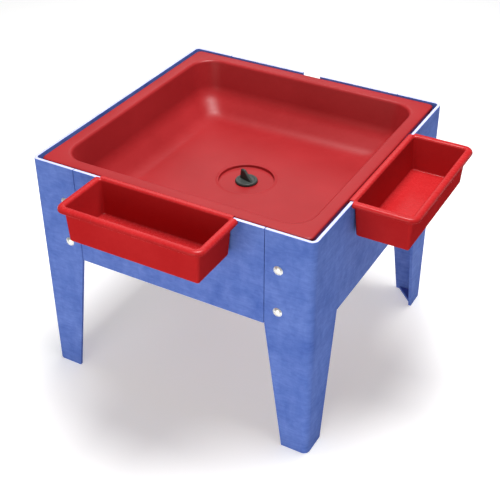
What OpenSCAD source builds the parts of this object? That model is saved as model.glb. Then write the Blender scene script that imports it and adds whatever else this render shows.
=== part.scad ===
// Low sand and water table: a frame of folded sheet on four tapered legs, a square tub
// with a drain plug dropped into it, and two small trays hooked over the frame's top edge.
// Millimetres. +Z is up, the front is -Y, and the side tray hangs on +X.
// The origin is the middle of the whole object's box, on the floor.

/* [Frame] */
// Width of the frame from left to right
frame_w = 559; // [550:1:590]
// Depth of the frame from front to back
frame_d = 554; // [550:1:590]
// Height of the frame's top edge
frame_h = 461; // [450:1:610]
// Thickness of the panels
sheet_t = 6; // [5:0.5:7]
// Outer radius of the corner bends
bend_r = 12; // [10:1:16]
// Width of each flange that a side panel turns onto the front or the back
flange_w = 90; // [86:1:96]
// Height of the front and back aprons
apron_h = 191; // [185:1:200]
// Height of the side panels above the gap between their legs
side_h = 195; // [185:1:200]
// Gap along the seam between a flange and an apron
seam_gap = 1; // [0.5:0.1:1.5]

/* [Legs] */
// Width of a leg's side face where it leaves the panel
leg_side_w = 98; // [94:1:104]
// Width of each of a leg's two faces at the floor
leg_foot_w = 53; // [48:1:60]
// Thickness of the triangular plate that closes a leg's foot
foot_plate_t = 6; // [4:0.5:8]
// Length of the plate's two straight sides, along the leg's inner faces
foot_plate_w = 40; // [34:1:42]

/* [Apron notch] */
// Width of the notch in the middle of an apron's top edge
notch_w = 39; // [30:1:50]
// Depth of the notch
notch_h = 12; // [8:1:16]

/* [Bolts] */
// Distance from the frame's side to the bolts
bolt_inset = 65; // [60:1:68]
// Distance from the frame's top edge to the upper bolts
bolt_top_drop = 73; // [66:1:76]
// Distance between an upper and a lower bolt
bolt_pitch = 85; // [80:1:96]
// Diameter of the domed bolt heads
bolt_head_d = 17.5; // [14:0.5:18]
// Height of the domed bolt heads
bolt_head_h = 4; // [3:0.5:5]

/* [Tub] */
// Outside size of the tub's square rim
tub_rim_w = 535; // [525:1:537]
// Size of the tub's square opening
tub_opening_w = 483; // [470:1:490]
// Corner radius of the opening
tub_corner_r = 45; // [35:1:55]
// Distance from the frame's top edge down to the tub's rim
tub_rim_drop = 3; // [3:0.5:5]
// Depth of the tub from its rim to its floor
tub_depth = 106; // [100:1:116]
// Thickness of the tub's walls
tub_t = 4; // [3:0.5:5]
// Depth of the skirt that turns down round the rim
tub_skirt_h = 12; // [10:1:14]
// Height and width of the bevel between the walls and the floor
tub_bevel = 38; // [30:1:44]

/* [Drain] */
// Diameter of the round recess in the tub's floor
recess_d = 107; // [95:1:120]
// Depth of the recess
recess_h = 5; // [3:0.5:7]
// Diameter of the drain hole
drain_d = 32; // [28:1:36]
// Length of the collar below the recess
collar_h = 18; // [14:1:24]
// Diameter of the plug's disc
plug_d = 44.5; // [42:0.5:50]
// Height of the plug's fin
fin_h = 20; // [16:1:24]

/* [Trays] */
// Inside width of a tray
tray_w = 255; // [230:1:280]
// Inside length of a tray, outward from the frame
tray_d = 98; // [85:1:110]
// Depth of a tray, from its rim to its underside
tray_h = 69.5; // [60:0.5:76]
// Thickness of a tray's walls and floor
tray_t = 3; // [2.5:0.5:3.5]
// Width of the rim round a tray
tray_rim_w = 14; // [13:0.5:16]
// How far the front tray stands to the right of the frame's middle
front_tray_shift = 0; // [-20:1:20]
// How far the side tray stands behind the frame's middle
side_tray_shift = -5; // [-20:1:20]

/* [Hidden] */

sheet_blue = [0.38, 0.46, 0.78];
tub_red = [0.78, 0.22, 0.22];
tray_red = [0.85, 0.15, 0.15];
plug_black = [0.12, 0.13, 0.13];
metal_grey = [0.85, 0.85, 0.84];

cut = 1;                       // how far cutting bodies run past what they cut
round_fn = 96;                 // segments of round surfaces
hull_fn = 32;                  // segments of round surfaces inside a hull

// Frame
half_w = frame_w / 2;
half_d = frame_d / 2;
apron_w = frame_w - 2 * flange_w - 2 * seam_gap;
apron_z = frame_h - apron_h;
side_gap_z = frame_h - side_h;

// Bolted joints
bolt_x = half_w - bolt_inset;
bolt_z_top = frame_h - bolt_top_drop;
bolt_zs = [bolt_z_top - bolt_pitch, bolt_z_top];
shank_d = 6;                   // M6 carriage bolt
shank_l = 21;
neck_w = 6;
neck_h = 4;
bolt_play = 0.6;               // how much wider than the shank its holes are
washer_d = 18;
washer_t = 1.6;
nut_across_flats = 10;
nut_h = 5;
nut_play = 0.2;
plate_lap = 40;                // how far a splice plate reaches behind the apron
plate_side_gap = 32;           // how far a splice plate stops short of the frame's side
plate_w = plate_lap + seam_gap + flange_w - plate_side_gap;
plate_h = 138;
plate_z = apron_z + 12;

// Tub: it stands against the back and a little to the left, which leaves the trays'
// hooks their room at the front and on the right
tub_x = -1.5;
tub_y = half_d - sheet_t - tub_rim_w / 2 - 1;
tub_rim_z = frame_h - tub_rim_drop;
tub_floor_z = tub_rim_z - tub_depth;
tub_floor_inset = 48.5;        // how far the floor's edge stands in from the opening's
tub_floor_w = tub_opening_w - 2 * tub_floor_inset;
tub_bevel_w = tub_floor_w + 2 * tub_bevel;
tub_floor_r = tub_corner_r - 15;
tub_rim_r = 10;
ledge_z = tub_rim_z - tub_skirt_h;
ledge_h = 20;
ledge_w = 16;
ledge_corner_gap = 24;         // how far a side ledge stops short of the front and back

// Drain
recess_z = tub_floor_z - recess_h;
collar_t = 4;
seal_t = 1.5;
seal_inset = 1.2;
disc_h = 3.5;
disc_top_inset = 1.7;
stem_play = 0.3;               // radial gap between the plug's stem and the drain hole
stem_h = 14;
fin_t = 6.5;
fin_l = 33;
fin_turn = -17;

// Trays, in a frame of their own: x along the sheet's edge, y outward from its outer
// face, z up from its top edge
tray_top_t = 2.5;              // thickness of the rim above the sheet's edge
tray_back_gap = 0.5;           // between the sheet's outer face and the tray's back wall
tray_y0 = tray_back_gap + tray_t;
tray_y1 = tray_y0 + tray_d;
tray_corner_r = 5;
tray_bottom_z = tray_top_t - tray_h;
tray_draft = 4.3;              // how much further in each wall stands at the floor
rim_drop = 8;                  // height of the rim's outer lip
rim_round = 4;
hook_drop = 11;                // how far the hook's lip reaches down inside the sheet
tray_reach = tray_y1 + tray_rim_w;

// The frame's own middle, seen from the origin
table_x = -tray_reach / 2;
table_y = (tray_reach - bolt_head_h) / 2;

module at_table() translate([table_x, table_y, 0]) children();

module rounded_plan(w, d, r, fn = round_fn) {
    square([w - 2 * r, d], center = true);
    square([w, d - 2 * r], center = true);
    for (x = [-1, 1], y = [-1, 1])
        translate([x * (w / 2 - r), y * (d / 2 - r)]) circle(r, $fn = fn);
}

// ---- Frame ----

// Gap between the two legs of a side panel, seen along X
module side_gap() {
    top = half_d - leg_side_w;
    foot = half_d - leg_foot_w;
    rotate([90, 0, 90])
        linear_extrude(frame_w)
            polygon([[-foot, -cut], [-foot, 0], [-top, side_gap_z],
                     [top, side_gap_z], [foot, 0], [foot, -cut]]);
}

// What the legs' taper removes from the right panel's flanges, seen along Y
module flange_taper() {
    edge = half_w - flange_w;
    foot = half_w - leg_foot_w;
    rotate([90, 0, 0])
        linear_extrude(2 * frame_d, center = true)
            polygon([[edge - cut, -cut], [foot, -cut], [foot, 0], [edge, apron_z], [edge - cut, apron_z]]);
}

// Places one bolted joint's hardware at all eight joints: +Z is outward there, and z = 0
// is the flange's outer face
module at_bolts() {
    for (side = [-1, 1], face = [-1, 1], z = bolt_zs)
        translate([side * bolt_x, face * half_d, z]) rotate([-90 * face, 0, 0]) children();
}

module right_panel_shape() {
    difference() {
        linear_extrude(frame_h) difference() {
            rounded_plan(frame_w, frame_d, bend_r);
            rounded_plan(frame_w - 2 * sheet_t, frame_d - 2 * sheet_t, bend_r - sheet_t);
            translate([-frame_w, -frame_d]) square([frame_w + half_w - flange_w, 2 * frame_d]);
        }
        side_gap();
        flange_taper();
        at_bolts() cube([shank_d + bolt_play, shank_d + bolt_play, 4 * sheet_t], center = true);
    }
}

module left_side_panel() {
    color(sheet_blue) at_table() mirror([1, 0, 0]) right_panel_shape();
}

module right_side_panel() {
    color(sheet_blue) at_table() right_panel_shape();
}

// A flat apron; its outer face is at y = 0 and the sheet lies towards +Y
module apron_shape() {
    difference() {
        translate([-apron_w / 2, 0, apron_z]) cube([apron_w, sheet_t, apron_h]);
        translate([-notch_w / 2, -cut, frame_h - notch_h])
            cube([notch_w, sheet_t + 2 * cut, notch_h + cut]);
    }
}

module front_apron() {
    color(sheet_blue) at_table() translate([0, -half_d, 0]) apron_shape();
}

module back_apron() {
    color(sheet_blue) at_table() mirror([0, 1, 0]) translate([0, -half_d, 0]) apron_shape();
}

// Plate behind the seam at the front right: bonded to the apron and bolted to the flange
module splice_plate_shape() {
    difference() {
        translate([apron_w / 2 - plate_lap, -half_d + sheet_t, plate_z])
            cube([plate_w, sheet_t, plate_h]);
        at_bolts() translate([0, 0, -3 * sheet_t])
            cylinder(h = 3 * sheet_t, d = shank_d + bolt_play, $fn = round_fn);
    }
}

// Copies a front right piece to one corner: side is -1 or 1 for left or right, and face is
// -1 or 1 for front or back
module at_corner(side, face) {
    at_table() mirror([side < 0 ? 1 : 0, 0, 0]) mirror([0, face > 0 ? 1 : 0, 0]) children();
}

module splice_plate(side, face) {
    color(sheet_blue) at_corner(side, face) splice_plate_shape();
}

// Triangular plate that closes the foot between the leg's two faces
module foot_plate_shape() {
    inner_x = half_w - sheet_t;
    inner_y = half_d - sheet_t;
    linear_extrude(foot_plate_t) intersection() {
        rounded_plan(2 * inner_x, 2 * inner_y, bend_r - sheet_t);
        polygon([[inner_x - foot_plate_w, -inner_y], [inner_x, -inner_y],
                 [inner_x, foot_plate_w - inner_y]]);
    }
}

module foot_plate(side, face) {
    color(sheet_blue) at_corner(side, face) foot_plate_shape();
}

// Ledge that carries the tub's skirt, against the inner face of an apron
module apron_ledge(face) {
    length = apron_w - 10;
    inner_y = half_d - sheet_t;
    color(sheet_blue) at_table()
        translate([-length / 2, face > 0 ? inner_y - ledge_w : -inner_y, ledge_z - ledge_h])
            cube([length, ledge_w, ledge_h]);
}

// The same against the inner face of a side panel
module side_ledge(side) {
    length = frame_d - 2 * (sheet_t + ledge_corner_gap);
    inner_x = half_w - sheet_t;
    color(sheet_blue) at_table()
        translate([side > 0 ? inner_x - ledge_w : -inner_x, -length / 2, ledge_z - ledge_h])
            cube([ledge_w, length, ledge_h]);
}

// ---- Bolted joints ----

module bolt() {
    dome_r = (pow(bolt_head_d / 2, 2) + pow(bolt_head_h, 2)) / (2 * bolt_head_h);
    intersection() {
        translate([0, 0, bolt_head_h - dome_r]) sphere(dome_r, $fn = round_fn);
        cylinder(h = 2 * bolt_head_h, d = 2 * bolt_head_d, $fn = round_fn);
    }
    translate([-neck_w / 2, -neck_w / 2, -neck_h]) cube([neck_w, neck_w, neck_h]);
    translate([0, 0, -shank_l]) cylinder(h = shank_l, d = shank_d, $fn = round_fn);
}

module carriage_bolts() {
    color(metal_grey) at_table() at_bolts() bolt();
}

module bolt_washers() {
    color(metal_grey) at_table() at_bolts()
        translate([0, 0, -2 * sheet_t - washer_t]) difference() {
            cylinder(h = washer_t, d = washer_d, $fn = round_fn);
            translate([0, 0, -cut])
                cylinder(h = washer_t + 2 * cut, d = shank_d + bolt_play, $fn = round_fn);
        }
}

module lock_nuts() {
    color(metal_grey) at_table() at_bolts()
        translate([0, 0, -2 * sheet_t - washer_t - nut_h]) difference() {
            cylinder(h = nut_h, r = nut_across_flats / sqrt(3), $fn = 6);
            translate([0, 0, -cut])
                cylinder(h = nut_h + 2 * cut, d = shank_d + nut_play, $fn = round_fn);
        }
}

// ---- Tub and drain ----

// One level of the tub: a thin rounded square, for the hulls that make its walls
module tub_level(z, w, r) {
    translate([0, 0, z]) linear_extrude(0.1) rounded_plan(w, w, r, hull_fn);
}

// The tub's inside, grown outward by grow and let down by the same amount
module tub_bowl(grow) {
    bevel_z = tub_floor_z + tub_bevel;
    hull() {
        tub_level(tub_floor_z - grow, tub_floor_w + grow, tub_floor_r);
        tub_level(bevel_z - grow / 2, tub_bevel_w + 2 * grow, tub_corner_r - 3 + grow);
    }
    hull() {
        tub_level(bevel_z - grow / 2, tub_bevel_w + 2 * grow, tub_corner_r - 3 + grow);
        tub_level(tub_rim_z - (grow > 0 ? 1 : 0), tub_opening_w + 2 * grow, tub_corner_r + grow);
    }
}

module tub() {
    collar_r = drain_d / 2 + collar_t;
    pan_z = recess_z - tub_t;
    color(tub_red) at_table() translate([tub_x, tub_y, 0]) difference() {
        union() {
            translate([0, 0, tub_rim_z - tub_t])
                linear_extrude(tub_t) rounded_plan(tub_rim_w, tub_rim_w, tub_rim_r);
            translate([0, 0, ledge_z]) linear_extrude(tub_skirt_h) difference() {
                rounded_plan(tub_rim_w, tub_rim_w, tub_rim_r);
                rounded_plan(tub_rim_w - 2 * tub_t, tub_rim_w - 2 * tub_t, tub_rim_r - tub_t);
            }
            tub_bowl(tub_t);
            translate([0, 0, pan_z])
                cylinder(h = tub_t + recess_h, d = recess_d + 2 * tub_t, $fn = round_fn);
            translate([0, 0, pan_z - collar_h])
                cylinder(h = collar_h + cut, r = collar_r, $fn = round_fn);
        }
        tub_bowl(0);
        translate([0, 0, recess_z])
            cylinder(h = recess_h + cut, d = recess_d, $fn = round_fn);
        translate([0, 0, pan_z - collar_h - cut])
            cylinder(h = collar_h + tub_t + 2 * cut, d = drain_d, $fn = round_fn);
    }
}

module at_drain() at_table() translate([tub_x, tub_y, recess_z]) children();

// The upright fin that fingers pull, taller towards one end
module plug_fin() {
    nose_r = 6;
    nose_x = -fin_l / 2 + nose_r + 3;
    rotate([90, 0, 0]) linear_extrude(fin_t, center = true) {
        polygon([[-fin_l / 2, 0], [fin_l / 2, 0], [fin_l / 4, fin_h / 3],
                 [nose_x + nose_r, fin_h - nose_r], [nose_x - nose_r, fin_h - nose_r]]);
        translate([nose_x, fin_h - nose_r]) circle(nose_r, $fn = round_fn);
    }
}

module drain_plug() {
    stem_r = drain_d / 2 - stem_play;
    color(plug_black) at_drain() {
        translate([0, 0, seal_t])
            cylinder(h = disc_h, d1 = plug_d, d2 = plug_d - 2 * disc_top_inset, $fn = round_fn);
        translate([0, 0, -stem_h]) cylinder(h = stem_h + seal_t + cut, r = stem_r, $fn = round_fn);
        translate([0, 0, seal_t + disc_h - cut]) rotate([0, 0, fin_turn]) plug_fin();
    }
}

module plug_seal() {
    color(plug_black) at_drain() difference() {
        cylinder(h = seal_t, d = plug_d - 2 * seal_inset, $fn = round_fn);
        translate([0, 0, -cut]) cylinder(h = seal_t + 2 * cut, d = drain_d, $fn = round_fn);
    }
}

// ---- Trays ----

// Section of the rim: x outward from the tray's opening, y up
module rim_section() {
    inner_round = 2;
    difference() {
        union() {
            translate([0, tray_top_t - rim_drop])
                square([tray_rim_w, rim_drop - rim_round]);
            translate([inner_round, tray_top_t - rim_drop])
                square([tray_rim_w - inner_round - rim_round, rim_drop]);
            translate([0, tray_top_t - rim_round - cut])
                square([tray_rim_w / 2, rim_round - inner_round + cut]);
            translate([inner_round, tray_top_t - inner_round]) circle(inner_round, $fn = round_fn);
            translate([tray_rim_w - rim_round, tray_top_t - rim_round])
                circle(rim_round, $fn = round_fn);
        }
        translate([tray_t, tray_top_t - rim_drop - cut])
            square([tray_rim_w - 2 * tray_t, rim_drop - tray_t + cut]);
    }
}

// Section of the hook over the sheet's edge: x towards the tub from the tray's opening
module hook_section() {
    difference() {
        union() {
            translate([0, -hook_drop]) square([tray_rim_w, hook_drop + tray_top_t - rim_round]);
            translate([0, -hook_drop])
                square([tray_rim_w - rim_round, hook_drop + tray_top_t]);
            translate([tray_rim_w - rim_round, tray_top_t - rim_round])
                circle(rim_round, $fn = round_fn);
        }
        translate([tray_t, -hook_drop - cut]) square([tray_rim_w - 2 * tray_t, hook_drop + cut]);
    }
}

module tray_rim() {
    corner_x = tray_w / 2 - tray_corner_r;
    corner_y = tray_y1 - tray_corner_r;
    for (side = [0, 1]) mirror([side, 0, 0]) {
        translate([tray_w / 2, corner_y, 0]) rotate([90, 0, 0])
            linear_extrude(corner_y - tray_back_gap) rim_section();
        translate([corner_x, corner_y, 0])
            rotate_extrude(angle = 90, $fn = round_fn)
                translate([tray_corner_r, 0]) rim_section();
    }
    translate([-corner_x, tray_y1, 0]) rotate([90, 0, 90])
        linear_extrude(2 * corner_x) rim_section();
}

// One level of a tray's cup: grow is added outside the opening on every side
module cup_level(z, grow, h = 0.1) {
    translate([0, (tray_y0 + tray_y1) / 2, z]) linear_extrude(h)
        rounded_plan(tray_w + 2 * grow, tray_d + 2 * grow, tray_corner_r + min(grow, 0), hull_fn);
}

module tray_shape() {
    length = tray_w + 2 * tray_t;
    difference() {
        union() {
            hull() {
                cup_level(tray_top_t - rim_round, tray_t);
                cup_level(tray_bottom_z, tray_t - tray_draft);
            }
            tray_rim();
            translate([-length / 2, tray_y0, 0]) mirror([0, 1, 0]) rotate([90, 0, 90])
                linear_extrude(length) hook_section();
        }
        hull() {
            cup_level(tray_top_t, 0, cut);
            cup_level(tray_bottom_z + tray_t, -tray_draft);
        }
    }
}

module front_tray() {
    color(tray_red) at_table() translate([front_tray_shift, -half_d, frame_h])
        rotate([0, 0, 180]) tray_shape();
}

module side_tray() {
    color(tray_red) at_table() translate([half_w, side_tray_shift, frame_h])
        rotate([0, 0, -90]) tray_shape();
}

left_side_panel();
right_side_panel();
front_apron();
back_apron();
splice_plate(-1, -1);  // splice_plate_front_left
splice_plate(1, -1);  // splice_plate_front_right
splice_plate(-1, 1);  // splice_plate_back_left
splice_plate(1, 1);  // splice_plate_back_right
foot_plate(-1, -1);  // foot_plate_front_left
foot_plate(1, -1);  // foot_plate_front_right
foot_plate(-1, 1);  // foot_plate_back_left
foot_plate(1, 1);  // foot_plate_back_right
apron_ledge(-1);  // front_ledge
apron_ledge(1);  // back_ledge
side_ledge(-1);  // left_ledge
side_ledge(1);  // right_ledge
carriage_bolts();
bolt_washers();
lock_nuts();
tub();
drain_plug();
plug_seal();
front_tray();
side_tray();
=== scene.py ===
import math

import bmesh
import bpy
from mathutils import Matrix, Vector


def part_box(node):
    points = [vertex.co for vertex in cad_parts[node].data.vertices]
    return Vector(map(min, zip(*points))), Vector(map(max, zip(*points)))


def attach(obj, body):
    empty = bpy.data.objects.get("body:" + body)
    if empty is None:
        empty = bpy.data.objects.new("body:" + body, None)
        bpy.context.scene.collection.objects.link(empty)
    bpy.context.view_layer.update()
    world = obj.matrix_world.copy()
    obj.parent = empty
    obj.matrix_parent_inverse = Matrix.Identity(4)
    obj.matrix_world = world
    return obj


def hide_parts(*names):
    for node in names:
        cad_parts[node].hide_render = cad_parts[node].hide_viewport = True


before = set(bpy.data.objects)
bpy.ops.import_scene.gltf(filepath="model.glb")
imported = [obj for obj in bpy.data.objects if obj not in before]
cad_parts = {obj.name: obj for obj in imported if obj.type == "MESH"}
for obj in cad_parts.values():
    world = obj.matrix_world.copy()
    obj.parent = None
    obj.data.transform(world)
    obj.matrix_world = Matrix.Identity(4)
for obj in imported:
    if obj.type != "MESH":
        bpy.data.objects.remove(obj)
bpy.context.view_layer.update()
MM = 0.001
SAME_PLACE = 1e-6                   # vertices this near to each other are one


# ---- Measures taken from the frame ----

panel_low, panel_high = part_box("right_side_panel")
left_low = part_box("left_side_panel")[0]
tub_low, tub_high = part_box("tub")
front_low, front_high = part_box("front_tray")
side_low, side_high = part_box("side_tray")
plug_low, plug_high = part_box("drain_plug")
seal_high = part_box("plug_seal")[1]

TABLE_X = (left_low.x + panel_high.x) / 2
TABLE_Y = (panel_low.y + panel_high.y) / 2
TABLE_TOP = panel_high.z
TUB_X = (tub_low.x + tub_high.x) / 2
TUB_Y = (tub_low.y + tub_high.y) / 2
TUB_RIM = tub_high.z
TUB_HALF = (tub_high.x - tub_low.x) / 2


# ---- Mesh helpers ----

def make_object(name, bm, material, smooth_angle=35):
    """An object of the mesh, smooth except at edges sharper than the angle in degrees."""
    bmesh.ops.remove_doubles(bm, verts=bm.verts, dist=SAME_PLACE)
    bmesh.ops.dissolve_degenerate(bm, edges=bm.edges, dist=SAME_PLACE)
    bmesh.ops.recalc_face_normals(bm, faces=bm.faces)
    mesh = bpy.data.meshes.new(name)
    bm.to_mesh(mesh)
    bm.free()
    mesh.materials.append(material)
    obj = bpy.data.objects.new(name, mesh)
    bpy.context.scene.collection.objects.link(obj)
    mesh.polygons.foreach_set("use_smooth", [True] * len(mesh.polygons))
    mesh.set_sharp_from_angle(angle=math.radians(smooth_angle))
    return obj


def add_bevel(obj, width):
    bevel = obj.modifiers.new("rounded edges", "BEVEL")
    bevel.width = width
    bevel.segments = 3
    bevel.limit_method = "ANGLE"
    bevel.angle_limit = math.radians(30)
    bevel.harden_normals = True
    bevel.use_clamp_overlap = True


def loft(bm, rings, cap_start=False, cap_end=False, closed=False):
    """Quads between rings that have the same number of points."""
    rows = [[bm.verts.new(p) for p in ring] for ring in rings]
    pairs = list(zip(rows, rows[1:]))
    if closed:
        pairs.append((rows[-1], rows[0]))
    for low, high in pairs:
        count = len(low)
        for i in range(count):
            j = (i + 1) % count
            bm.faces.new((low[i], low[j], high[j], high[i]))
    if cap_start:
        bm.faces.new(reversed(rows[0]))
    if cap_end:
        bm.faces.new(rows[-1])


def filleted(corners, steps=5):
    """Points of a line through (a, b, radius) corners, each rounded by its radius."""
    points = []
    last = len(corners) - 1
    for i, corner in enumerate(corners):
        here, radius = Vector(corner[:2]), corner[2]
        if i in (0, last) or radius == 0:
            points.append((here.x, here.y))
            continue
        back = (Vector(corners[i - 1][:2]) - here).normalized()
        ahead = (Vector(corners[i + 1][:2]) - here).normalized()
        half = back.angle(ahead) / 2
        reach = radius / math.tan(half)
        centre = here + (back + ahead).normalized() * (radius / math.sin(half))
        start, end = here + back * reach - centre, here + ahead * reach - centre
        sweep = start.angle_signed(end)
        for k in range(steps + 1):
            turned = start.copy()
            turned.rotate(Matrix.Rotation(-sweep * k / steps, 2))
            points.append((centre.x + turned.x, centre.y + turned.y))
    return points


def plan_angles(half_steps=22, power=1.8):
    """Directions round a square plan, closest together at its corners."""
    offsets = [math.pi / 4 * (k / half_steps) ** power for k in range(half_steps + 1)]
    angles = []
    for quarter in range(4):
        corner = math.pi / 4 + quarter * math.pi / 2
        angles += [corner - o for o in reversed(offsets[1:])]
        angles += [corner + o for o in offsets[:-1]]
    return angles


def square_ring(cx, cy, z, half, radius, angles):
    """Rounded square seen from its middle; with radius = half it is a circle."""
    radius = min(radius, half)
    inner = half - radius
    points = []
    for angle in angles:
        c, s = abs(math.cos(angle)), abs(math.sin(angle))
        reach = half / max(c, s)
        if min(c, s) * reach > inner:
            along = inner * (c + s)
            reach = along + math.sqrt(max(0, along * along - 2 * inner * inner + radius * radius))
        points.append((cx + reach * math.cos(angle), cy + reach * math.sin(angle), z))
    return points


# ---- Materials ----

NOISE_LOW, NOISE_HIGH = 0.3, 0.7    # where a noise's values are taken to lie


class Nodes:
    """Short calls for building a material's nodes."""

    def __init__(self, name):
        self.material = bpy.data.materials.new(name)
        self.material.use_nodes = True
        self.tree = self.material.node_tree
        self.shader = self.tree.nodes["Principled BSDF"]
        self.place = self.tree.nodes.new("ShaderNodeTexCoord").outputs["Object"]

    def link(self, out, socket):
        self.tree.links.new(out, socket)

    def noise(self, scale, detail=3, roughness=0.5, stretch=None, distortion=0):
        node = self.tree.nodes.new("ShaderNodeTexNoise")
        node.inputs["Scale"].default_value = scale
        node.inputs["Detail"].default_value = detail
        node.inputs["Roughness"].default_value = roughness
        node.inputs["Distortion"].default_value = distortion
        source = self.place
        if stretch:
            mapping = self.tree.nodes.new("ShaderNodeMapping")
            mapping.inputs["Scale"].default_value = stretch
            self.link(self.place, mapping.inputs["Vector"])
            source = mapping.outputs["Vector"]
        self.link(source, node.inputs["Vector"])
        return node.outputs["Fac"]

    def ramp(self, value, deep, pale, low=NOISE_LOW, high=NOISE_HIGH):
        """Colours from deep to pale, over a noise's values from low to high."""
        node = self.tree.nodes.new("ShaderNodeValToRGB")
        elements = node.color_ramp.elements
        for element, position, colour in zip(elements, (low, high), (deep, pale)):
            element.position = position
            element.color = (*colour, 1)
        self.link(value, node.inputs["Fac"])
        return node.outputs["Color"]

    def mix(self, factor, first, second, blend="MIX"):
        node = self.tree.nodes.new("ShaderNodeMix")
        node.data_type = "RGBA"
        node.blend_type = blend
        node.inputs["Factor"].default_value = factor
        self.link(first, node.inputs["A"])
        self.link(second, node.inputs["B"])
        return node.outputs["Result"]

    def spread(self, value, low, high):
        """A noise, spread over the range from low to high."""
        node = self.tree.nodes.new("ShaderNodeMapRange")
        node.inputs["From Min"].default_value = NOISE_LOW
        node.inputs["From Max"].default_value = NOISE_HIGH
        node.inputs["To Min"].default_value = low
        node.inputs["To Max"].default_value = high
        self.link(value, node.inputs["Value"])
        return node.outputs["Result"]

    def bump(self, height, strength, distance, below=None):
        node = self.tree.nodes.new("ShaderNodeBump")
        node.inputs["Strength"].default_value = strength
        node.inputs["Distance"].default_value = distance
        self.link(height, node.inputs["Height"])
        if below is not None:
            self.link(below, node.inputs["Normal"])
        return node.outputs["Normal"]


def sheet_material():
    """Cloudy blue plastic sheet: soft mottling, faint wavy lines and a fine grain."""
    n = Nodes("cloudy_blue_sheet")
    clouds = n.noise(14, 5, 0.6, distortion=0.6)
    blotches = n.noise(55, 4, 0.62, stretch=(1, 1, 0.55), distortion=0.4)
    streaks = n.noise(110, 4, 0.65, stretch=(0.35, 0.35, 1.6), distortion=0.8)
    grain = n.noise(900, 3, 0.6)
    wide = n.ramp(clouds, SHEET_DEEP, SHEET_PALE, 0.32, 0.68)
    fine = n.ramp(blotches, SHEET_DEEP, SHEET_PALE)
    colour = n.mix(0.5, wide, fine)
    soft = n.ramp(streaks, STREAK_DEEP, STREAK_PALE)
    n.link(n.mix(0.55, colour, soft, "SOFT_LIGHT"), n.shader.inputs["Base Color"])
    n.link(n.spread(blotches, 0.5, 0.62), n.shader.inputs["Roughness"])
    low = n.bump(blotches, 0.12, 0.0006)
    n.link(n.bump(grain, 0.12, 0.00012, low), n.shader.inputs["Normal"])
    n.shader.inputs["Specular IOR Level"].default_value = 0.02
    return n.material


def painted_highlight_material():
    """Painted highlight for the sheet's top edges: a pale colour standing in for the overhead
    light, with fine saw marks.
    """
    n = Nodes("painted_highlight_top_edge")
    marks = n.noise(900, 2, 0.5, stretch=(1, 1, 0.35))
    wide = n.noise(40, 3, 0.5)
    marked = n.ramp(marks, HIGHLIGHT_DEEP, HIGHLIGHT_PALE)
    cloudy = n.ramp(wide, HIGHLIGHT_DEEP, HIGHLIGHT_PALE)
    n.link(n.mix(0.5, marked, cloudy), n.shader.inputs["Base Color"])
    n.link(n.spread(marks, 0.35, 0.5), n.shader.inputs["Roughness"])
    n.link(n.bump(marks, 0.2, 0.0002), n.shader.inputs["Normal"])
    return n.material


def moulded_material(name, deep, pale, roughness, gloss, texture):
    """Moulded plastic: slow colour drift, a slight orange-peel texture and soft scuffing."""
    n = Nodes(name)
    drift = n.noise(9, 3, 0.5)
    scuffs = n.noise(130, 5, 0.65, distortion=0.5)
    peel = n.noise(420, 1, 0.4)
    slow = n.ramp(drift, deep, pale)
    worn = n.ramp(scuffs, deep, pale)
    n.link(n.mix(0.3, slow, worn), n.shader.inputs["Base Color"])
    n.link(n.spread(scuffs, roughness - 0.04, roughness + 0.06), n.shader.inputs["Roughness"])
    n.link(n.bump(peel, texture, 0.00015), n.shader.inputs["Normal"])
    n.shader.inputs["Specular IOR Level"].default_value = gloss
    return n.material


def metal_material():
    """Zinc-plated steel with a slight haze and a fine grain."""
    n = Nodes("zinc_plated_steel")
    grain = n.noise(1500, 3, 0.6)
    haze = n.noise(260, 3, 0.5)
    n.link(n.ramp(haze, METAL_DEEP, METAL_PALE), n.shader.inputs["Base Color"])
    n.link(n.spread(haze, 0.24, 0.36), n.shader.inputs["Roughness"])
    n.link(n.bump(grain, 0.1, 0.00005), n.shader.inputs["Normal"])
    n.shader.inputs["Metallic"].default_value = 0.62
    return n.material


SHEET_DEEP, SHEET_PALE = (0.070, 0.136, 0.47), (0.148, 0.236, 0.63)
STREAK_DEEP, STREAK_PALE = (0.36, 0.36, 0.36), (0.64, 0.64, 0.64)
# Pale colours painted on the sheet's top edges as a highlight from the overhead light.
HIGHLIGHT_DEEP, HIGHLIGHT_PALE = (0.42, 0.44, 0.70), (0.58, 0.59, 0.82)
TUB_DEEP, TUB_PALE = (0.268, 0.012, 0.014), (0.325, 0.018, 0.021)
TRAY_DEEP, TRAY_PALE = (0.38, 0.012, 0.014), (0.445, 0.020, 0.022)
PLUG_DEEP, PLUG_PALE = (0.020, 0.026, 0.024), (0.050, 0.060, 0.056)
METAL_DEEP, METAL_PALE = (0.70, 0.70, 0.67), (0.88, 0.88, 0.85)

blue = sheet_material()
# The pale painted highlight for the sheet's top edges.
top_edge_highlight = painted_highlight_material()
red_tub = moulded_material("satin_red_tub", TUB_DEEP, TUB_PALE, 0.40, 0.22, 0.08)
red_tray = moulded_material("glossy_red_tray", TRAY_DEEP, TRAY_PALE, 0.26, 0.17, 0.02)
red_tray_walls = moulded_material("matte_red_tray", TRAY_DEEP, TRAY_PALE, 0.40, 0.0, 0.02)
black_plug = moulded_material("black_plug", PLUG_DEEP, PLUG_PALE, 0.42, 0.30, 0.25)
black_seal = moulded_material("black_rubber_seal", PLUG_DEEP, PLUG_PALE, 0.65, 0.20, 0.40)
steel = metal_material()


# ---- Frame: the sheet pieces, with the slightly broken edges that a router leaves ----

EDGE_BREAK = 0.7 * MM
METAL_BREAK = 0.25 * MM
LEVEL = 0.9                         # a face whose normal rises by this much lies level


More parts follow.
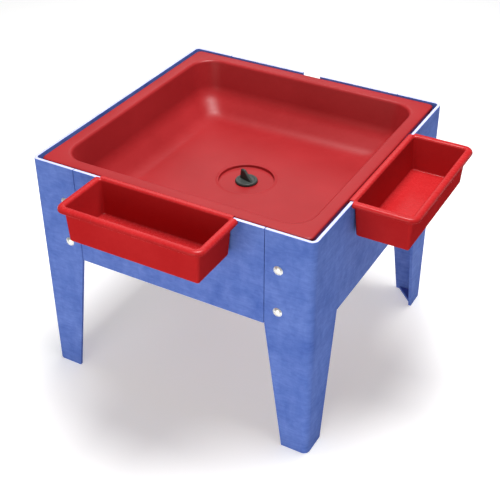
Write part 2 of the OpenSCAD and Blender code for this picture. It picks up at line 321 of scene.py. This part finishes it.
def softened(node, body, material, width, paint_top_highlight=False):
    """A piece with the node's own shape and rounded edges, which stands for the node."""
    bm = bmesh.new()
    bm.from_mesh(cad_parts[node].data)
    bmesh.ops.remove_doubles(bm, verts=bm.verts, dist=SAME_PLACE)
    bmesh.ops.dissolve_limit(bm, angle_limit=math.radians(1), verts=bm.verts, edges=bm.edges)
    obj = make_object(node + "_piece", bm, material)
    # Upward-facing faces along the top edge get the pale painted-highlight colour.
    if paint_top_highlight:
        obj.data.materials.append(top_edge_highlight)
        for face in obj.data.polygons:
            if face.normal.z > LEVEL and face.center.z > TABLE_TOP - 0.5 * MM:
                face.material_index = 1
    add_bevel(obj, width)
    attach(obj, body)
    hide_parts(node)


for node in ("left_side_panel", "right_side_panel", "front_apron", "back_apron"):
    softened(node, "frame", blue, EDGE_BREAK, paint_top_highlight=True)
for face in ("front", "back"):
    softened(face + "_ledge", "frame", blue, EDGE_BREAK)
    for side in ("left", "right"):
        softened(f"splice_plate_{face}_{side}", "frame", blue, EDGE_BREAK)
        softened(f"foot_plate_{face}_{side}", "frame", blue, EDGE_BREAK)
for side in ("left", "right"):
    softened(side + "_ledge", "frame", blue, EDGE_BREAK)
for node in ("carriage_bolts", "bolt_washers", "lock_nuts"):
    softened(node, "frame", steel, METAL_BREAK)


# ---- Tub ----

TUB_WALL = 4 * MM
TUB_OPENING = 241.5 * MM            # half the opening
TUB_BEVEL_TOP = 231 * MM            # half the plan where the bevel starts
TUB_FLOOR = 193 * MM                # half the floor
TUB_BEVEL_Z = TUB_RIM - 68 * MM
TUB_FLOOR_Z = TUB_RIM - 106 * MM
RECESS_Z = TUB_FLOOR_Z - 5 * MM
PAN_Z = RECESS_Z - TUB_WALL
RECESS_R = 53.5 * MM
DRAIN_R = 16 * MM
COLLAR_R = 20 * MM
COLLAR_Z = PAN_Z - 18 * MM
SKIRT_Z = TUB_RIM - 12 * MM
FLAT_RING = 120 * MM                # half a square ring on the flat part of the floor
BEAD = 0.8 * MM                     # how far the edge round the recess is raised
BEAD_FOOT, BEAD_TOP = 6 * MM, 2.2 * MM      # from the recess to the bead's foot and its top
RIM_ROUND, LIP_ROUND, WALL_ROUND, FLOOR_ROUND = 3 * MM, 6 * MM, 50 * MM, 42 * MM
EDGE_ROUND, PAN_ROUND = 0.8 * MM, 1.2 * MM


def tub_plan_radius(half):
    """Corner radius of the tub's plan at each half width; near the drain, a circle."""
    stops = [(RECESS_R + 8 * MM, RECESS_R + 8 * MM), (FLAT_RING, 48 * MM), (TUB_FLOOR, 30 * MM),
             (TUB_BEVEL_TOP, 42 * MM), (TUB_OPENING, 45 * MM), (TUB_OPENING + 7 * MM, 45 * MM),
             (TUB_HALF - 5 * MM, 9 * MM), (TUB_HALF, 10 * MM)]
    if half <= stops[0][0]:
        return half
    for (a, ra), (b, rb) in zip(stops, stops[1:]):
        if half <= b:
            return ra + (rb - ra) * (half - a) / (b - a)
    return stops[-1][1]


def make_tub():
    """One closed skin: down the inside from the skirt to the drain, and back up outside."""
    angles = plan_angles()
    rim_under = TUB_RIM - TUB_WALL
    inside = [
        (TUB_HALF - TUB_WALL, SKIRT_Z, 0), (TUB_HALF, SKIRT_Z, EDGE_ROUND),
        (TUB_HALF, TUB_RIM, RIM_ROUND), (TUB_OPENING, TUB_RIM, LIP_ROUND),
        (TUB_BEVEL_TOP, TUB_BEVEL_Z, WALL_ROUND), (TUB_FLOOR, TUB_FLOOR_Z, FLOOR_ROUND),
        (FLAT_RING, TUB_FLOOR_Z, 0), (RECESS_R + BEAD_FOOT, TUB_FLOOR_Z, 3 * MM),
        (RECESS_R + BEAD_TOP, TUB_FLOOR_Z + BEAD, 2 * MM),
        (RECESS_R, TUB_FLOOR_Z + BEAD, 1 * MM), (RECESS_R - 0.4 * MM, RECESS_Z, EDGE_ROUND),
        (DRAIN_R, RECESS_Z, EDGE_ROUND), (DRAIN_R, COLLAR_Z, EDGE_ROUND)]
    outside = [
        (COLLAR_R, COLLAR_Z, EDGE_ROUND), (COLLAR_R, PAN_Z, PAN_ROUND),
        (RECESS_R + TUB_WALL, PAN_Z, PAN_ROUND),
        (RECESS_R + TUB_WALL, TUB_FLOOR_Z - TUB_WALL, 1 * MM),
        (FLAT_RING, TUB_FLOOR_Z - TUB_WALL, 0),
        (TUB_FLOOR + 2 * MM, TUB_FLOOR_Z - TUB_WALL, FLOOR_ROUND),
        (TUB_BEVEL_TOP + TUB_WALL, TUB_BEVEL_Z - 2 * MM, WALL_ROUND),
        (TUB_OPENING + TUB_WALL, rim_under, 2 * MM),
        (TUB_HALF - TUB_WALL, rim_under, 1 * MM), (TUB_HALF - TUB_WALL, SKIRT_Z + 0.1 * MM, 0)]
    profile = filleted(inside, 6) + filleted(outside, 4)
    bm = bmesh.new()
    loft(bm, [square_ring(TUB_X, TUB_Y, z, half, tub_plan_radius(half), angles)
              for half, z in profile], closed=True)
    obj = make_object("tub_shell", bm, red_tub, smooth_angle=50)
    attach(obj, "tub")
    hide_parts("tub")


make_tub()


# ---- Drain plug ----

PLUG_SEAT = seal_high.z
FIN_TURN = math.radians(-17)
FIN_LENGTH, FIN_TOP, FIN_THICK = 33 * MM, 15 * MM, 6.5 * MM
FIN_ROWS, FIN_STEPS = 18, 28
FIN_LEAN = 3 * MM                   # how far the tall end leans in
FIN_SLOPE_END, FIN_CROWN = 0.86, 0.84       # of the height: where the slope ends, the top rounds
FIN_CLOSE = 0.88                    # how nearly the rounded top closes, 1 being a point
FIN_TAPER = 0.2                     # how much thinner the fin is at the top, of its thickness
FIN_SQUARE = 0.6                    # below 1 makes the fin's outline squarer than an ellipse
DISC_TOP = PLUG_SEAT + 3.5 * MM
DISH_Z = DISC_TOP - 0.8 * MM
STEM_R = DRAIN_R - 0.3 * MM


def turned_shape(bm, profile, cx, cy, steps=64):
    """A round shape about a vertical axis, through (radius, z) points."""
    angles = [2 * math.pi * k / steps for k in range(steps)]
    loft(bm, [square_ring(cx, cy, z, max(r, 1e-5), max(r, 1e-5), angles) for r, z in profile],
         cap_start=True, cap_end=True)


def make_plug():
    """A disc with a shallow dish and a stem, and the upright fin that fingers pull."""
    bm = bmesh.new()
    turned_shape(bm, filleted([
        (STEM_R - 2 * MM, plug_low.z, 0), (STEM_R, plug_low.z + 2 * MM, 0.8 * MM),
        (STEM_R, PLUG_SEAT, 0), (22.2 * MM, PLUG_SEAT, 0.5 * MM),
        (20.6 * MM, DISC_TOP, 1.4 * MM), (16.5 * MM, DISC_TOP, 0.8 * MM),
        (15.5 * MM, DISH_Z, 0.8 * MM), (0.2 * MM, DISH_Z, 0)]),
        TUB_X, TUB_Y)
    fin_foot = DISC_TOP - 1 * MM
    fin_rise = plug_high.z - fin_foot
    direction = Vector((math.cos(FIN_TURN), math.sin(FIN_TURN)))
    across = Vector((-direction.y, direction.x))
    sections = []
    for k in range(FIN_ROWS):
        t = math.sin(math.pi / 2 * k / (FIN_ROWS - 1))
        tall_end = -FIN_LENGTH / 2 + FIN_LEAN * t
        slope_end = FIN_LENGTH / 2 - (FIN_LENGTH - FIN_TOP) * min(t / FIN_SLOPE_END, 1)
        crown = math.sqrt(1 - FIN_CLOSE * (max(0, t - FIN_CROWN) / (1 - FIN_CROWN)) ** 2)
        mid = (tall_end + slope_end) / 2
        half = (slope_end - tall_end) / 2 * crown ** FIN_SQUARE
        thick = FIN_THICK / 2 * (1 + FIN_TAPER / 2 - FIN_TAPER * t) * crown
        ring = []
        for j in range(FIN_STEPS):
            angle = 2 * math.pi * j / FIN_STEPS
            c, s = math.cos(angle), math.sin(angle)
            along = mid + half * math.copysign(abs(c) ** FIN_SQUARE, c)
            aside = thick * math.copysign(abs(s) ** FIN_SQUARE, s)
            flat = direction * along + across * aside
            ring.append((TUB_X + flat.x, TUB_Y + flat.y, fin_foot + fin_rise * t))
        sections.append(ring)
    loft(bm, sections, cap_start=True, cap_end=True)
    obj = make_object("drain_plug_body", bm, black_plug, smooth_angle=50)
    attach(obj, "plug")
    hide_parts("drain_plug")
    softened("plug_seal", "plug", black_seal, 0.3 * MM)


make_plug()


# ---- Trays ----

# In a tray's own frame: x along the sheet's edge, y outward from its outer face, z up from
# the sheet's top edge.
TRAY_HALF, TRAY_NEAR, TRAY_FAR = 127.5 * MM, 3.5 * MM, 101.5 * MM
TRAY_TOP, TRAY_BOTTOM, TRAY_WALL = 2.5 * MM, -67 * MM, 3 * MM
TRAY_DRAFT, TRAY_CORNER, TRAY_RIM = 4.3 * MM, 5 * MM, 14 * MM
LIP_BOTTOM = TRAY_TOP - 8 * MM
HOOK_BOTTOM, HOOK_REACH = -11 * MM, 10.5 * MM
SHEET_GAP = 0.5 * MM
FLOOR_INSET = 20 * MM               # from the floor's edge to where its flat middle is closed
UPRIGHT = 0.35                      # faces whose normals rise or fall by less are matte


def tray_ring(offset, z, steps=10, side_steps=8):
    """Opening's outline grown by offset; at the back it never passes the sheet's face."""
    x, near, far = TRAY_HALF + offset, max(TRAY_NEAR - offset, SHEET_GAP), TRAY_FAR + offset
    back_r = max(TRAY_CORNER - max(offset, 0) * 0.45, 2 * MM)
    front_r = max(TRAY_CORNER + offset, 2 * MM)
    corners = [(x, far, front_r, 0), (-x, far, front_r, 90), (-x, near, back_r, 180),
               (x, near, back_r, 270)]
    points = []
    for px, py, r, start in corners:
        cx, cy = px - math.copysign(r, px), py - (r if start < 180 else -r)
        for k in range(steps + 1):
            a = math.radians(start + 90 * k / steps)
            points.append(Vector((cx + r * math.cos(a), cy + r * math.sin(a), z)))
    full = []
    for i, point in enumerate(points):
        full.append(point)
        if i % (steps + 1) == steps:
            ahead = points[(i + 1) % len(points)]
            full += [point.lerp(ahead, k / side_steps) for k in range(1, side_steps)]
    return full


def make_tray(name, node, body, place):
    """A tray with a rolled rim, and the hook that hangs it on the sheet's edge."""
    profile = filleted([
        (-TRAY_DRAFT - FLOOR_INSET, TRAY_BOTTOM + TRAY_WALL, 0),
        (-TRAY_DRAFT, TRAY_BOTTOM + TRAY_WALL, 3 * MM), (0, TRAY_TOP, 4.5 * MM),
        (TRAY_RIM, TRAY_TOP, 6 * MM), (TRAY_RIM, LIP_BOTTOM, 1.2 * MM),
        (TRAY_RIM - TRAY_WALL, LIP_BOTTOM, 1.2 * MM),
        (TRAY_RIM - TRAY_WALL, TRAY_TOP - TRAY_WALL, 1 * MM),
        (TRAY_WALL, TRAY_TOP - TRAY_WALL, 1 * MM), (TRAY_WALL - TRAY_DRAFT, TRAY_BOTTOM, 2 * MM),
        (-TRAY_DRAFT - FLOOR_INSET, TRAY_BOTTOM, 0)], 6)
    bm = bmesh.new()
    loft(bm, [tray_ring(offset, z) for offset, z in profile], cap_start=True, cap_end=True)
    hook = filleted([
        (SHEET_GAP, 0, 0), (SHEET_GAP, TRAY_TOP, 0), (-HOOK_REACH, TRAY_TOP, 6 * MM),
        (-HOOK_REACH, HOOK_BOTTOM, 1.2 * MM), (-HOOK_REACH + TRAY_WALL, HOOK_BOTTOM, 1.2 * MM),
        (-HOOK_REACH + TRAY_WALL, 0, 0.8 * MM)], 6)
    end = TRAY_HALF + TRAY_WALL
    loft(bm, [[(x, y, z) for y, z in hook] for x in (-end, -end / 2, 0, end / 2, end)],
         cap_start=True, cap_end=True)
    for vertex in bm.verts:
        vertex.co = place @ vertex.co
    obj = make_object(name, bm, red_tray, smooth_angle=50)
    obj.data.materials.append(red_tray_walls)
    for face in obj.data.polygons:
        if abs(face.normal.z) < UPRIGHT:
            face.material_index = 1
    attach(obj, body)
    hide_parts(node)


front_x = (front_low.x + front_high.x) / 2
side_y = (side_low.y + side_high.y) / 2
make_tray("front_tray_moulding", "front_tray", "front_tray",
          Matrix.Translation((front_x, panel_low.y, TABLE_TOP)) @ Matrix.Rotation(math.pi, 4, "Z"))
make_tray("side_tray_moulding", "side_tray", "side_tray",
          Matrix.Translation((panel_high.x, side_y, TABLE_TOP))
          @ Matrix.Rotation(-math.pi / 2, 4, "Z"))


# ---- Studio ----

FLOOR_DEEP, FLOOR_PALE = (0.77, 0.77, 0.77), (0.79, 0.79, 0.79)
FLOOR_HALF = 60                     # metres from its middle to a side
FLOOR_GLOW = 0.41                   # lifts the pale floor to the white of a studio sweep
WARM_WHITE = (1.0, 0.93, 0.82)
CAMERA_PLACE = (0.7572, -1.3835, 1.3363)
CAMERA_AZIMUTH, CAMERA_DOWN, CAMERA_ROLL = 119.296, 34.757, -0.1    # degrees
CAMERA_ANGLE = 27.986               # degrees across the picture


def studio_floor():
    bm = bmesh.new()
    bmesh.ops.create_grid(bm, x_segments=2, y_segments=2, size=FLOOR_HALF)
    n = Nodes("pale_studio_floor")
    shades = n.ramp(n.noise(3), FLOOR_DEEP, FLOOR_PALE)
    n.link(shades, n.shader.inputs["Base Color"])
    n.shader.inputs["Roughness"].default_value = 0.6
    n.shader.inputs["Specular IOR Level"].default_value = 0.2
    n.shader.inputs["Emission Color"].default_value = (1, 1, 1, 1)
    n.shader.inputs["Emission Strength"].default_value = FLOOR_GLOW
    floor = make_object("studio_floor", bm, n.material)


def area_light(name, place, target, size, power, colour=(1, 1, 1)):
    data = bpy.data.lights.new(name, "AREA")
    data.shape = "DISK"
    data.size = size
    data.energy = power
    data.color = colour
    light = bpy.data.objects.new(name, data)
    light.location = place
    light.rotation_euler = (Vector(target) - Vector(place)).to_track_quat("-Z", "Y").to_euler()
    bpy.context.scene.collection.objects.link(light)


def studio_world(strength):
    world = bpy.data.worlds.new("studio_world")
    world.use_nodes = True
    background = world.node_tree.nodes["Background"]
    background.inputs["Color"].default_value = (1, 1, 1, 1)
    background.inputs["Strength"].default_value = strength
    bpy.context.scene.world = world


def make_camera():
    """The camera stands in front, to the right and above, and looks down at the tub."""
    azimuth, down = math.radians(CAMERA_AZIMUTH), math.radians(CAMERA_DOWN)
    roll = math.radians(CAMERA_ROLL)
    data = bpy.data.cameras.new("camera")
    data.sensor_width = 36
    data.angle = math.radians(CAMERA_ANGLE)
    camera = bpy.data.objects.new("camera", data)
    camera.location = CAMERA_PLACE
    ahead = Vector((math.cos(azimuth) * math.cos(down), math.sin(azimuth) * math.cos(down),
                    -math.sin(down)))
    turn = ahead.to_track_quat("-Z", "Y").to_matrix()
    camera.rotation_euler = (turn @ Matrix.Rotation(roll, 3, "Z")).to_euler()
    bpy.context.scene.collection.objects.link(camera)
    bpy.context.scene.camera = camera


studio_floor()
studio_world(0.11)
aim = (TABLE_X, TABLE_Y, 0.3)
area_light("overhead", (0.1, 0.15, 2.6), aim, 1.25, 91)
area_light("back_card", (-1.25, 2.2, 2.1), aim, 1.6, 9)
area_light("low_front_card", (0.0, -2.5, 0.5), aim, 2.0, 32, WARM_WHITE)
bpy.context.scene.view_settings.view_transform = "Standard"
make_camera()
